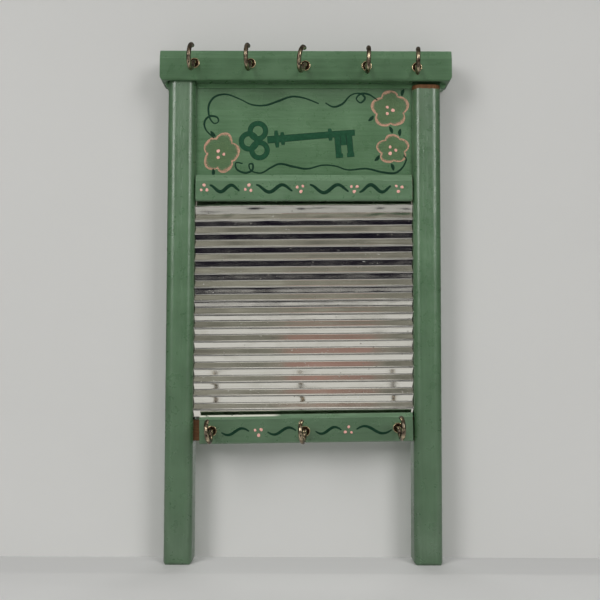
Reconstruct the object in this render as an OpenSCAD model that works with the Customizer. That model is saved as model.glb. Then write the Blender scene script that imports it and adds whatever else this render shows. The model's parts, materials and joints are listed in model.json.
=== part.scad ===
// Small wooden washboard fitted out as a key rack.
// Two posts and three rails hold a painted headboard and a corrugated tin rub plate.
// Five cup hooks are screwed into the head rail and three into the bottom rail.
// +X is to the right, the front faces -Y, +Z is up, and the feet stand on Z = 0.

/* [Overall] */
// Height from the feet to the top of the head rail
height = 308.6; // [290:0.1:330]
// Length of the head rail
head_length = 177; // [174:0.5:200]
// Width over the outer sides of the two posts
post_outer = 166; // [160:0.5:166]

/* [Posts] */
// Width of a post, seen from the front
post_width = 17; // [15:0.5:20]
// Depth of a post, from front to back
post_depth = 19; // [18:0.5:24]
// Radius of a post's two front corners
post_front_radius = 5; // [2:0.5:5]
// Radius of a post's two back corners
post_back_radius = 1.2; // [0.5:0.1:2]
// Chamfer around each foot
foot_chamfer = 1.4; // [0.4:0.1:2]
// How far the posts stand off centre under the head rail
post_offset = -0.9; // [-1.5:0.1:1.5]
// How far the right post has dropped out of its housing
right_post_drop = 3.8; // [2.4:0.1:5]

/* [Head rail] */
// Height of the head rail
head_height = 18.6; // [16:0.1:22]
// How far the head rail stands in front of the posts
head_overhang = 2.5; // [0.5:0.1:4]
// Depth of the housing cut for the top of each post
housing_depth = 2.2; // [1:0.1:3]
// Radius of the head rail's lower corners, seen from the front
end_radius = 2.7; // [1:0.1:4]
// Thickness of the tongue under the head rail
tongue_thickness = 8; // [6:0.5:9]
// How far the tongue hangs below the head rail
tongue_drop = 2.6; // [2.4:0.1:6]
// How far the tongue's ends stop short of the head rail's ends
tongue_inset = 2.5; // [1:0.1:3]

/* [Rail moulding] */
// Height of the sloped upper edge on the head rail
head_slope = 5.2; // [2:0.1:7]
// Height of the sloped upper edge on the middle rail
mid_slope = 3.8; // [2:0.1:5]
// Height of the sloped upper edge on the bottom rail
low_slope = 2.4; // [1.6:0.1:4]
// Depth of the sloped upper edges
slope_depth = 1.5; // [1:0.1:2]
// Radius of the small rounded edges
edge_radius = 1.2; // [0.5:0.1:1.5]

/* [Middle and bottom rails] */
// Height of the middle rail
mid_height = 16.1; // [14:0.1:18]
// Underside of the middle rail above the feet
mid_bottom = 217.1; // [212:0.1:222]
// How far the middle rail has tilted, right end up (degrees)
mid_tilt = 0.2; // [0:0.1:0.4]
// Height of the bottom rail
low_height = 17; // [15:0.1:18]
// Underside of the bottom rail above the feet
low_bottom = 71.8; // [68:0.1:73]
// How far the bottom rail has tilted, right end up (degrees)
low_tilt = 1; // [0.8:0.1:1.4]
// Shoulder-to-shoulder length of the bottom rail
low_length = 127.4; // [127:0.1:128]
// Gap left between the bottom rail's right shoulder and the post
low_right_gap = 0.6; // [0.6:0.1:1]
// How far the rails' fronts stand behind the posts' fronts
rail_setback = 0.7; // [0:0.1:2]

/* [Headboard and rub plate] */
// Thickness of the headboard
board_thickness = 5; // [4:0.1:5]
// Distance between two ribs of the rub plate
rib_pitch = 8.2; // [6:0.1:9]
// Depth of the ribs, from trough to crest
rib_depth = 2.0; // [1.5:0.1:2.6]
// Where in a rib the plate's lower edge is cut (degrees)
rib_phase = 77; // [0:1:359]
// How sharp the ribs are: 0 is a sine wave, 1 a sharp zigzag
rib_sharpness = 0.98; // [0.5:0.01:0.99]
// Thickness of the tin sheet
sheet_gauge = 0.45; // [0.3:0.05:0.6]
// How far the rub plate has tilted, right side up (degrees)
plate_tilt = 0.7; // [0.6:0.1:0.9]

/* [Hooks] */
// Thickness of the hooks' wire
wire_diameter = 2.6; // [2:0.1:2.8]
// Diameter of a hook's collar
collar_diameter = 6.2; // [6:0.1:8]
// Thickness of a hook's collar
collar_thickness = 1.6; // [1:0.1:2.5]
// Middle radius of the loops on the head rail
top_loop_radius = 6.9; // [6:0.1:7.5]
// Middle radius of the loops on the bottom rail
low_loop_radius = 6; // [5.5:0.1:7.5]
// Pitch of a hook's screw thread
thread_pitch = 1.25; // [1:0.05:1.5]
// Length of a hook's screw, in the wood
screw_length = 10; // [8:0.5:12]

/* [Hidden] */
$fn = 48;
cut = 1;
running_gap = 0.05;

paint = [0.33, 0.44, 0.33];
tin = [0.62, 0.61, 0.57];
brass = [0.42, 0.32, 0.18];
steel = [0.55, 0.55, 0.53];

// Each hook: [distance right of the head rail's centre, height, how far the loop is bent sideways
// (degrees), how far the screw stops past upright (degrees)].
TOP_HOOKS = [
    [-67.4, 300.3, -5, 4], [-33.4, 300.1, -7, 1], [-0.3, 298.8, -13, 10], [36.8, 298.7, 0, 2],
    [67.2, 298.0, -5, 1]
];
LOW_HOOKS = [[-55.5, 78.7, -6, -7], [0.1, 78.8, -11, -4], [55.6, 80.9, 6, -1]];

// Hook wire: the small bend and the loop that follows it.
wire_r = wire_diameter / 2;
ball_bite = 0.03;
bend_radius = 3;
hook_lead = 0.4;
loop_rise = 0.5;
tip_angle = 95;

// Hook screw and the hole it sits in.
shank_hole_r = wire_r + running_gap;
shank_hole_depth = screw_length + 1;
thread_root_r = 0.78;
point_length = 2.5;

// Sawtooth hanger on the back of the head rail.
hanger_length = 45;
hanger_height = 8;
hanger_gauge = 0.9;
hanger_standoff = 1.4;
hanger_nail_x = 19.5;
hanger_nail_length = 9;
tooth_pitch = 3;
tooth_depth = 1.6;

// Every solid is laid out from the back face of the posts, and then moved to sit on the origin,
// which is the middle of the object's overall width and depth.
head_front = -(post_depth + head_overhang);
front_limit = head_front - hook_reach(top_loop_radius);
back_limit = hanger_standoff + hanger_gauge;
depth_shift = -(front_limit + back_limit) / 2;

// Head rail and the posts that run up into it.
head_bottom = height - head_height;
hanger_z = head_bottom + head_height / 2;
tongue_bottom = head_bottom - tongue_drop;
tongue_length = head_length - 2 * tongue_inset;
tongue_front = -13.5;
tongue_back = tongue_front + tongue_thickness;

opening = post_outer - 2 * post_width;
post_middle = (post_outer - post_width) / 2;
left_post_top = head_bottom + housing_depth;
right_post_top = left_post_top - right_post_drop;
bridle_depth = left_post_top - tongue_bottom + 0.4;

// Middle and bottom rails: body, stub tenons and their mortises.
rail_front = rail_setback - post_depth;
rail_back = -1.5;
tenon_front = -13.5;
tenon_back = -5.5;
tenon_reach = 5;
mortise_depth = 6;
joint_gap = 0.1;
mid_end_gap = 0.4;
mid_length = opening - 2 * mid_end_gap;
mid_tenon = [3.7, 12.5];
low_tenon = [1.8, 14];
low_centre = opening / 2 - low_right_gap - low_length / 2;

// Headboard.
board_front = tongue_front + joint_gap;
board_back = board_front + board_thickness;
board_bottom = mid_bottom + mid_height - 2.2;
board_top = tongue_bottom - 0.1;
board_width = opening + 2 * 3.6;
board_groove_depth = 3;

// Rub plate.
plate_y = -13.5;
plate_bottom = low_bottom + low_height - 1.6;
plate_top = mid_bottom + 2.4;
plate_width = opening + 2 * 3.3;
plate_slot = rib_depth + 3 * sheet_gauge;
side_groove_depth = 4.4;
steps_per_rib = 20;

// Brads.
nail_r = 0.6;
nail_head_r = 1.1;
nail_head = 0.6;
nail_length = 12;
nail_gap = 0.02;

// Angle at which a hook's wire turns from its small first bend into the loop.
function turn_angle(r) = acos((loop_rise + bend_radius) / (r + bend_radius));

// Distance from the end of the first straight to the middle of the loop.
function loop_ahead(r) = (r + bend_radius) * sin(turn_angle(r));

// How far a hook stands out from the face it is screwed into.
function hook_reach(r) = collar_thickness + hook_lead + loop_ahead(r) + r + wire_r;

// Front-to-back place of the sheet's middle at a height above the plate's lower edge.
function rib_y(z) =
    rib_depth / 2 * asin(rib_sharpness * sin(360 * z / rib_pitch + rib_phase)) / asin(rib_sharpness);

// Moves a solid from the layout to the object's own origin.
module in_frame() {
    translate([0, depth_shift, 0]) children();
}

// Moves a solid with the pair of posts, which stand off centre.
module with_posts() {
    translate([post_offset, 0, 0]) children();
}

// Tilts a solid about its own middle height, in the plane of the frame.
module tilted(angle, z) {
    translate([0, 0, z]) rotate([0, -angle, 0]) translate([0, 0, -z]) children();
}

// Block between two corners.
module block(low, high) {
    translate(low) cube(high - low);
}

// Shape that cuts a rounded corner of radius r into material lying in the +x +y quadrant.
module corner_cut(r) {
    difference() {
        translate([-cut, -cut]) square(r + cut);
        translate([r, r]) circle(r);
    }
}

// Rectangle from [0, 0] to [w, h] with a radius for each corner:
// lower left, lower right, upper right, upper left.
module rounded_rectangle(w, h, radii) {
    difference() {
        square([w, h]);
        corner_cut(radii[0]);
        translate([w, 0]) mirror([1, 0]) corner_cut(radii[1]);
        translate([w, h]) rotate(180) corner_cut(radii[2]);
        translate([0, h]) mirror([0, 1]) corner_cut(radii[3]);
    }
}

// Extrudes an outline drawn in [depth, height] along X, centred.
module along_x(length) {
    rotate([90, 0, 90]) translate([0, 0, -length / 2]) linear_extrude(length) children();
}

// Extrudes an outline drawn in [width, height] from the front face back to the back face.
module along_y(front, back) {
    translate([0, back, 0]) rotate([90, 0, 0]) linear_extrude(back - front) children();
}

// Cross-section of a rail whose upper front edge slopes back; depth runs from front to back.
module sloped_section(front, back, h, slope) {
    depth = back - front;
    translate([front, 0]) difference() {
        rounded_rectangle(depth, h, [edge_radius, edge_radius, edge_radius, edge_radius]);
        polygon([[-cut, h - slope], [0, h - slope], [slope_depth, h - 0.6],
                 [slope_depth + 0.9, h + cut], [-cut, h + cut]]);
    }
}

// ---- Posts ----

// One post standing on Z = 0 and centred on X = 0, whose inner side faces +X.
module post(top) {
    groove_side = post_width / 2 - side_groove_depth;
    mid_low = mid_bottom - mid_tilt_rise() + mid_tenon[0] - joint_gap;
    mid_high = mid_bottom + mid_tilt_rise() + mid_tenon[1] + joint_gap;
    low_low = low_bottom - low_tilt_rise() + low_tenon[0] - joint_gap;
    low_high = low_bottom + low_tilt_rise() + low_tenon[1] + joint_gap;
    mortise_side = post_width / 2 - mortise_depth;
    difference() {
        linear_extrude(top) translate([-post_width / 2, -post_depth])
            rounded_rectangle(post_width, post_depth, [post_front_radius, post_front_radius,
                                                       post_back_radius, post_back_radius]);
        // bridle slot over the head rail's tongue
        block([-post_width, tongue_front - joint_gap, top - bridle_depth],
              [post_width, tongue_back + joint_gap, top + cut]);
        // groove for the headboard
        block([groove_side, board_front - joint_gap, board_bottom - 0.6],
              [post_width, board_back + joint_gap, top + cut]);
        // groove for the rub plate
        block([groove_side, plate_y - plate_slot / 2, plate_bottom - 2],
              [post_width, plate_y + plate_slot / 2, plate_top + 2]);
        // mortises for the middle and bottom rails
        block([mortise_side, tenon_front - joint_gap, mid_low],
              [post_width, tenon_back + joint_gap, mid_high]);
        block([mortise_side, tenon_front - joint_gap, low_low],
              [post_width, tenon_back + joint_gap, low_high]);
        foot_cuts();
    }
}

// How far the tilted rails rise or fall at the posts.
function mid_tilt_rise() = (opening / 2 + tenon_reach) * sin(mid_tilt);
function low_tilt_rise() = (opening / 2 + tenon_reach) * sin(low_tilt);

// Chamfer around the foot of a post.
module foot_cuts() {
    side = post_width + post_depth;
    for (place = [[0, [-post_width / 2, 0]], [180, [post_width / 2, 0]],
                  [90, [0, -post_depth]], [270, [0, 0]]]) {
        translate(place[1]) rotate([0, 0, place[0]]) rotate([0, 45, 0])
            cube([foot_chamfer * sqrt(2), 2 * side, foot_chamfer * sqrt(2)], center = true);
    }
}

module left_post() {
    color(paint) in_frame() with_posts() difference() {
        translate([-post_middle, 0, 0]) post(left_post_top);
        nail_holes([LEFT_BRIDLE_NAIL, MID_LEFT_NAIL]);
    }
}

module right_post() {
    color(paint) in_frame() with_posts() difference() {
        translate([post_middle, 0, 0]) mirror([1, 0, 0]) post(right_post_top);
        nail_holes([MID_RIGHT_NAIL, LOW_RIGHT_NAIL]);
    }
}

// ---- Rails ----

module head_rail() {
    color(paint) in_frame() difference() {
        union() {
            intersection() {
                translate([0, 0, head_bottom]) along_x(head_length)
                    sloped_section(head_front, 0, head_height, head_slope);
                along_y(head_front - cut, cut) translate([-head_length / 2, head_bottom])
                    rounded_rectangle(head_length, head_height, [end_radius, end_radius, 0.6, 0.6]);
            }
            along_y(tongue_front, tongue_back) translate([-tongue_length / 2, tongue_bottom])
                rounded_rectangle(tongue_length, tongue_drop + 2, [2.5, 2.5, 0.5, 0.5]);
        }
        with_posts() for (side = [-1, 1]) housing(side);
        for (hook = TOP_HOOKS) shank_hole(hook, head_front);
        with_posts() nail_holes([LEFT_BRIDLE_NAIL]);
        hanger_nail_holes();
    }
}

// Housing for the top of one post, cut in the cap on both sides of the tongue.
module housing(side) {
    x = side * post_middle;
    difference() {
        block([x - post_width / 2 - joint_gap, -post_depth - joint_gap, head_bottom - cut],
              [x + post_width / 2 + joint_gap, cut, head_bottom + housing_depth + joint_gap]);
        block([x - post_width, tongue_front, head_bottom - 2 * cut],
              [x + post_width, tongue_back, head_bottom + housing_depth + cut]);
    }
}

// Stub tenon on one end of a rail; side is -1 for the left end and 1 for the right.
module tenon(end_x, side, span, bottom) {
    inner = end_x - side * cut;
    outer = end_x + side * tenon_reach;
    block([min(inner, outer), tenon_front, bottom + span[0]],
          [max(inner, outer), tenon_back, bottom + span[1]]);
}

module mid_rail() {
    color(paint) in_frame() with_posts() difference() {
        tilted(mid_tilt, mid_bottom + mid_height / 2) difference() {
            union() {
                translate([0, 0, mid_bottom]) along_x(mid_length)
                    sloped_section(rail_front, rail_back, mid_height, mid_slope);
                for (side = [-1, 1]) tenon(side * mid_length / 2, side, mid_tenon, mid_bottom);
            }
            // groove for the headboard along the top, and for the rub plate along the underside
            block([-opening, board_front - joint_gap, mid_bottom + mid_height - board_groove_depth],
                  [opening, board_back + joint_gap, mid_bottom + mid_height + cut]);
            block([-opening, plate_y - plate_slot / 2, mid_bottom - cut],
                  [opening, plate_y + plate_slot / 2, mid_bottom + 3.5]);
        }
        nail_holes([MID_LEFT_NAIL, MID_RIGHT_NAIL]);
    }
}

module bottom_rail() {
    low_left = low_centre - low_length / 2;
    low_right = low_centre + low_length / 2;
    color(paint) in_frame() difference() {
        with_posts() difference() {
            tilted(low_tilt, low_bottom + low_height / 2) difference() {
                union() {
                    translate([low_centre, 0, low_bottom]) along_x(low_length)
                        sloped_section(rail_front, rail_back, low_height, low_slope);
                    tenon(low_left, -1, low_tenon, low_bottom);
                    tenon(low_right, 1, low_tenon, low_bottom);
                }
                // groove for the rub plate along the top
                block([-opening, plate_y - plate_slot / 2, low_bottom + low_height - 2.4],
                      [opening, plate_y + plate_slot / 2, low_bottom + low_height + cut]);
            }
            nail_holes([LOW_RIGHT_NAIL]);
        }
        for (hook = LOW_HOOKS) shank_hole(hook, rail_front);
    }
}

// ---- Panels ----

module headboard() {
    color(paint) in_frame() with_posts()
        block([-board_width / 2, board_front, board_bottom], [board_width / 2, board_back, board_top]);
}

module rub_plate() {
    tall = plate_top - plate_bottom;
    steps = ceil(tall / rib_pitch * steps_per_rib);
    slack = sheet_gauge / 2 * sqrt(1 + pow(2 * rib_depth / rib_pitch, 2));
    heights = [for (i = [0:steps]) tall * i / steps];
    front = [for (z = heights) [plate_y + rib_y(z) - slack, z]];
    back = [for (i = [steps:-1:0]) [plate_y + rib_y(heights[i]) + slack, heights[i]]];
    color(tin) in_frame() with_posts() tilted(plate_tilt, (plate_top + plate_bottom) / 2)
        translate([0, 0, plate_bottom]) along_x(plate_width) polygon(concat(front, back));
}

// ---- Nails ----

// Each nail is driven in from the back of a post: [distance right of the posts' centre, height].
LEFT_BRIDLE_NAIL = [-post_middle, head_bottom - 1.2];
MID_LEFT_NAIL = [-opening / 2 - 2.6, mid_bottom + mid_height / 2];
MID_RIGHT_NAIL = [opening / 2 + 2.6, mid_bottom + mid_height / 2];
LOW_RIGHT_NAIL = [opening / 2 + 2.6, low_bottom + low_height / 2 + 1.5];
FRAME_NAILS = [LEFT_BRIDLE_NAIL, MID_LEFT_NAIL, MID_RIGHT_NAIL, LOW_RIGHT_NAIL];

// Nail whose head is flush with Y = 0 and whose shank runs towards -Y.
module nail(length, gap = 0) {
    rotate([90, 0, 0]) {
        cylinder(h = nail_head + gap, r = nail_head_r + gap);
        cylinder(h = length + gap, r = nail_r + gap);
    }
}

module nail_holes(places) {
    for (place = places) translate([place[0], 0, place[1]]) {
        nail(nail_length, nail_gap);
        rotate([-90, 0, 0]) cylinder(h = cut, r = nail_head_r + nail_gap);
    }
}

module frame_nails() {
    color(steel) in_frame() with_posts() for (place = FRAME_NAILS)
        translate([place[0], 0, place[1]]) nail(nail_length);
}

// ---- Hanger ----

// Strip seen from above: flat tabs on the wood, and a middle that stands off it.
module hanger_plan() {
    out = hanger_standoff;
    g = hanger_gauge;
    end = hanger_length / 2;
    polygon([[-end, 0], [-16, 0], [-14, out], [14, out], [16, 0], [end, 0],
             [end, g], [16.5, g], [14.5, out + g], [-14.5, out + g], [-16.5, g], [-end, g]]);
}

module hanger() {
    color(steel) in_frame() translate([0, 0, hanger_z - hanger_height / 2]) difference() {
        linear_extrude(hanger_height) hanger_plan();
        // teeth along the lower edge, pointing down
        for (i = [-4:4]) translate([i * tooth_pitch, 0, 0]) along_y(-cut, 5 * cut)
            polygon([[-tooth_pitch / 2, -cut], [0, tooth_depth], [tooth_pitch / 2, -cut]]);
        for (side = [-1, 1]) translate([side * hanger_nail_x, -cut, hanger_height / 2])
            rotate([-90, 0, 0]) cylinder(h = 5 * cut, r = nail_r + nail_gap);
    }
}

module hanger_nails() {
    color(steel) in_frame() for (side = [-1, 1])
        translate([side * hanger_nail_x, hanger_gauge + nail_head, hanger_z])
            nail(hanger_nail_length);
}

module hanger_nail_holes() {
    for (side = [-1, 1]) translate([side * hanger_nail_x, cut, hanger_z])
        rotate([90, 0, 0]) cylinder(h = hanger_nail_length + cut, r = nail_r + nail_gap);
}

// ---- Cup hooks ----

// Places a hook's own frame, with its screw axis along +Y, on the face it is screwed into.
module at_hook(hook, face) {
    translate([hook[0], face, hook[1]]) children();
}

// Hole in a rail for one hook's screw.
module shank_hole(hook, face) {
    at_hook(hook, face) translate([0, -cut, 0])
        rotate([-90, 0, 0]) cylinder(h = shank_hole_depth + cut, r = shank_hole_r);
}

// Pressed collar around the wire: a dished cup with a raised rim and a short neck.
module collar(hook, face) {
    rim = collar_diameter / 2;
    t = collar_thickness;
    dish = 0.4 * t;
    lip = 0.7 * t;
    color(brass) in_frame() at_hook(hook, face) rotate([90, 0, 0]) rotate_extrude()
        polygon([[shank_hole_r, 0], [rim - 0.2, 0], [rim, 0.2], [rim, lip - 0.25], [rim - 0.25, lip],
                 [rim - 0.5, lip], [rim - 1.0, dish], [shank_hole_r + 0.6, dish],
                 [shank_hole_r + 0.35, t - 0.15], [shank_hole_r + 0.2, t], [shank_hole_r, t]]);
}

// Half outline of the ringed screw, from its point to the smooth wire.
function screw_outline() = concat(
    [[0, 0], [thread_root_r, point_length]],
    [for (i = [0 : floor((screw_length - point_length - 1) / thread_pitch) - 1])
        for (p = [[thread_root_r, 0.3], [wire_r, 0.75], [wire_r, 0.95], [thread_root_r, 1.2]])
            [p[0], point_length + i * thread_pitch + p[1]]],
    [[thread_root_r, screw_length - 0.8], [wire_r, screw_length - 0.4]]
);

// Arc of wire in the plane of X = 0: centre as [forward, up], radius, and angles
// counted from straight ahead towards up. Both ends stop short inside their wire balls.
module wire_arc(centre, r, from, to) {
    short = ball_bite / r * 180 / PI;
    translate([0, -centre[0], centre[1]]) rotate([90, 0, -90]) rotate([0, 0, from + short])
        rotate_extrude(angle = to - from - 2 * short) translate([r, 0]) circle(wire_r);
}

// Ball that joins two lengths of wire, or rounds off the tip, at [forward, up].
module wire_ball(place) {
    translate([0, -place[0], place[1]]) sphere(wire_r + ball_bite);
}

// Loop of one hook, from the end of the first straight to the tip.
module loop(r) {
    a = turn_angle(r);
    middle = [loop_ahead(r), loop_rise];
    wire_arc([0, -bend_radius], bend_radius, 90 - a, 90);
    wire_ball([bend_radius * sin(a), bend_radius * (cos(a) - 1)]);
    wire_arc(middle, r, -90 - a, tip_angle);
    wire_ball([middle[0] + r * cos(tip_angle), middle[1] + r * sin(tip_angle)]);
}

// Whole hook: screw, straight through the collar, and the leaning loop.
module hook(hook, face, loop_radius) {
    front = collar_thickness + hook_lead;
    straight_end = screw_length + front - ball_bite;
    color(brass) in_frame() at_hook(hook, face) {
        translate([0, screw_length, 0]) rotate([90, 0, 0]) rotate_extrude()
            polygon(concat(screw_outline(), [[wire_r, straight_end], [0, straight_end]]));
        wire_ball([front, 0]);
        translate([0, -front, 0]) rotate([0, hook[3], 0]) rotate([0, 0, hook[2]]) loop(loop_radius);
    }
}

head_rail();
left_post();
right_post();
headboard();
mid_rail();
bottom_rail();
rub_plate();
frame_nails();
hanger();
hanger_nails();
collar(TOP_HOOKS[0], head_front);  // collar_top_1
collar(TOP_HOOKS[1], head_front);  // collar_top_2
collar(TOP_HOOKS[2], head_front);  // collar_top_3
collar(TOP_HOOKS[3], head_front);  // collar_top_4
collar(TOP_HOOKS[4], head_front);  // collar_top_5
collar(LOW_HOOKS[0], rail_front);  // collar_low_1
collar(LOW_HOOKS[1], rail_front);  // collar_low_2
collar(LOW_HOOKS[2], rail_front);  // collar_low_3
hook(TOP_HOOKS[0], head_front, top_loop_radius);  // hook_top_1
hook(TOP_HOOKS[1], head_front, top_loop_radius);  // hook_top_2
hook(TOP_HOOKS[2], head_front, top_loop_radius);  // hook_top_3
hook(TOP_HOOKS[3], head_front, top_loop_radius);  // hook_top_4
hook(TOP_HOOKS[4], head_front, top_loop_radius);  // hook_top_5
hook(LOW_HOOKS[0], rail_front, low_loop_radius);  // hook_low_1
hook(LOW_HOOKS[1], rail_front, low_loop_radius);  // hook_low_2
hook(LOW_HOOKS[2], rail_front, low_loop_radius);  // hook_low_3
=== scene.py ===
import json
import math

import bmesh
import bpy
import numpy as np
from mathutils import Matrix, Vector, noise

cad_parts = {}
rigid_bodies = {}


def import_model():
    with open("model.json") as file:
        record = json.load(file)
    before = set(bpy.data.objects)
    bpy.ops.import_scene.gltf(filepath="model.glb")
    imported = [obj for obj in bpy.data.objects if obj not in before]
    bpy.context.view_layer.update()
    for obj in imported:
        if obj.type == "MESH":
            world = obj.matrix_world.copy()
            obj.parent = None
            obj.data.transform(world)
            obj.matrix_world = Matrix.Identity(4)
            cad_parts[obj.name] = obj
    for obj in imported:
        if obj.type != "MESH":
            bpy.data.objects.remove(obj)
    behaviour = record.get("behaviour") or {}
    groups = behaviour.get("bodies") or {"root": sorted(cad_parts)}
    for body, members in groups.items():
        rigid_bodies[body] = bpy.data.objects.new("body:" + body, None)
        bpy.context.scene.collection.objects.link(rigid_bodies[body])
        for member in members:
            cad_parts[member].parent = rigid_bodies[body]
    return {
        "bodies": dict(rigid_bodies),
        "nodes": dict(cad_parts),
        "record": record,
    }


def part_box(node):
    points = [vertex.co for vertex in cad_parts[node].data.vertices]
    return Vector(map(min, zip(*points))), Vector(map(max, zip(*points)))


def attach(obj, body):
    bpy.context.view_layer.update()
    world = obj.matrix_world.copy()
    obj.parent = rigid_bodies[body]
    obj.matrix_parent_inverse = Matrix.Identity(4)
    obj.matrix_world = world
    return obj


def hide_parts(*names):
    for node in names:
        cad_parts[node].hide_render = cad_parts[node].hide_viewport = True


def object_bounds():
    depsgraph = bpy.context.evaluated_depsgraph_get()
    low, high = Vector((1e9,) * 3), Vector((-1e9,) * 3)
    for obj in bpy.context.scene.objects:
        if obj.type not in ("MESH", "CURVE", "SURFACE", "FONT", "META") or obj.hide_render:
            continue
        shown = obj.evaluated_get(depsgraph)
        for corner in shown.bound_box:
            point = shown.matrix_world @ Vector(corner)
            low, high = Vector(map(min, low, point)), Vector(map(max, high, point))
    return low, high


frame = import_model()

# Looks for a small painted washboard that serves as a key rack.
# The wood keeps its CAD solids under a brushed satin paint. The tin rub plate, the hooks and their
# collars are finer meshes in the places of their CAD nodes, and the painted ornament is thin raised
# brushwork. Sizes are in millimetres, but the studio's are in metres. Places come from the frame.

CAD_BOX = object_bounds()
MM = 0.001

# Hooks
WIRE_RADIUS = 1.3
THREAD_ROOT = 0.78
THREAD_PITCH = 1.25
SCREW_LENGTH = 10.0
POINT_LENGTH = 2.5
BEND_RADIUS = 3.0
LOOP_RISE = 0.5
COLLAR_LEAD = 2.0
TIP_ANGLE = math.radians(95)
WIRE_SIDES = 28
THREAD_STEP = 0.11
RUNOUT_START = 0.4
RUNOUT_LENGTH = 0.8
LEAN_EASE = 2.4

# Rub plate
RIB_PITCH = 8.2
RIB_DEPTH = 2.0
RIB_PHASE = math.radians(77)
RIB_SHARPNESS = 0.98
SHEET_GAUGE = 0.45
PLATE_TILT = math.radians(0.7)
PLATE_WIDTH = 138.6
PLATE_HEIGHT = 132.3
PLATE_COLUMNS = 120
ROWS_PER_RIB = 24

# Wood
MID_TILT = math.radians(0.2)
LOW_TILT = math.radians(1.0)
TENON_REACH = 5.0
BARE_POST_TOP = 2.5
CAP_ABOVE_POST = 1.6
PANEL_CENTRE = 258.3

# Paint: how far painted shade under the head rail reaches down the posts and the headboard, how much of
# the middle rail's right end is rubbed, and how far the painted highlight on the bottom rail's top edge
# reaches down, right and back.
POST_TONE = 0.98
POST_PAINTED_SHADE = 90
BOARD_PAINTED_SHADE = 16
WORN_LENGTH = 6
HIGHLIGHT_DROP = 2.2
HIGHLIGHT_END = -14
HIGHLIGHT_BACK = 2.6

# Colours, linear
GREEN = (0.098, 0.204, 0.099, 1)
GREEN_DARK = (0.067, 0.152, 0.068, 1)
GREEN_LIGHT = (0.141, 0.266, 0.142, 1)
# Lighter green painted on faces that look up: painted light from above.
GREEN_PAINTED_TOP_LIGHT = (0.215, 0.360, 0.220, 1)
BARE_WOOD = (0.215, 0.100, 0.038, 1)
BARE_WOOD_DARK = (0.075, 0.032, 0.014, 1)
# Pale colour of the painted highlight on the bottom rail's top edge.
EDGE_HIGHLIGHT_PALE = (0.72, 0.73, 0.62, 1)
LEAF_GREEN = (0.004, 0.032, 0.015, 1)
KEY_GREEN = (0.011, 0.066, 0.030, 1)
PETAL_PINK = (0.76, 0.40, 0.29, 1)
DOT_PINK = (0.86, 0.43, 0.37, 1)


# ---- Meshes ----

def grid_faces(rows, columns, closed=True):
    """Quads of a grid of points; closed joins the last column to the first."""
    faces = []
    for i in range(rows - 1):
        for j in range(columns if closed else columns - 1):
            k = (j + 1) % columns
            faces.append((i * columns + j, i * columns + k, (i + 1) * columns + k, (i + 1) * columns + j))
    return faces


def end_caps(rows, columns):
    """The two faces that close a tube made by grid_faces."""
    last = (rows - 1) * columns
    return [tuple(range(columns)), tuple(last + j for j in range(columns))]


def joined(parts):
    """One list of points, faces and brush marks out of several."""
    points, faces, marks = [], [], []
    for part_points, part_faces, part_marks in parts:
        start = len(points)
        points.extend(part_points)
        faces.extend(tuple(start + i for i in face) for face in part_faces)
        marks.extend(part_marks)
    return points, faces, marks


def add_piece(name, points, faces, material, body="frame", marks=None):
    """A smooth closed mesh from points in metres, riding on a body."""
    mesh = bpy.data.meshes.new(name)
    mesh.from_pydata([tuple(p) for p in points], [], faces)
    if marks:
        attribute = mesh.attributes.new("brush", "FLOAT_VECTOR", "POINT")
        attribute.data.foreach_set("vector", np.array(marks, np.float32).ravel())
    bm = bmesh.new()
    bm.from_mesh(mesh)
    bmesh.ops.recalc_face_normals(bm, faces=bm.faces)
    bm.to_mesh(mesh)
    bm.free()
    mesh.polygons.foreach_set("use_smooth", [True] * len(mesh.polygons))
    mesh.set_sharp_from_angle(angle=math.radians(50))
    mesh.materials.append(material)
    piece = bpy.data.objects.new(name, mesh)
    bpy.context.scene.collection.objects.link(piece)
    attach(piece, body)
    return piece


# ---- Node materials ----

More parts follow.
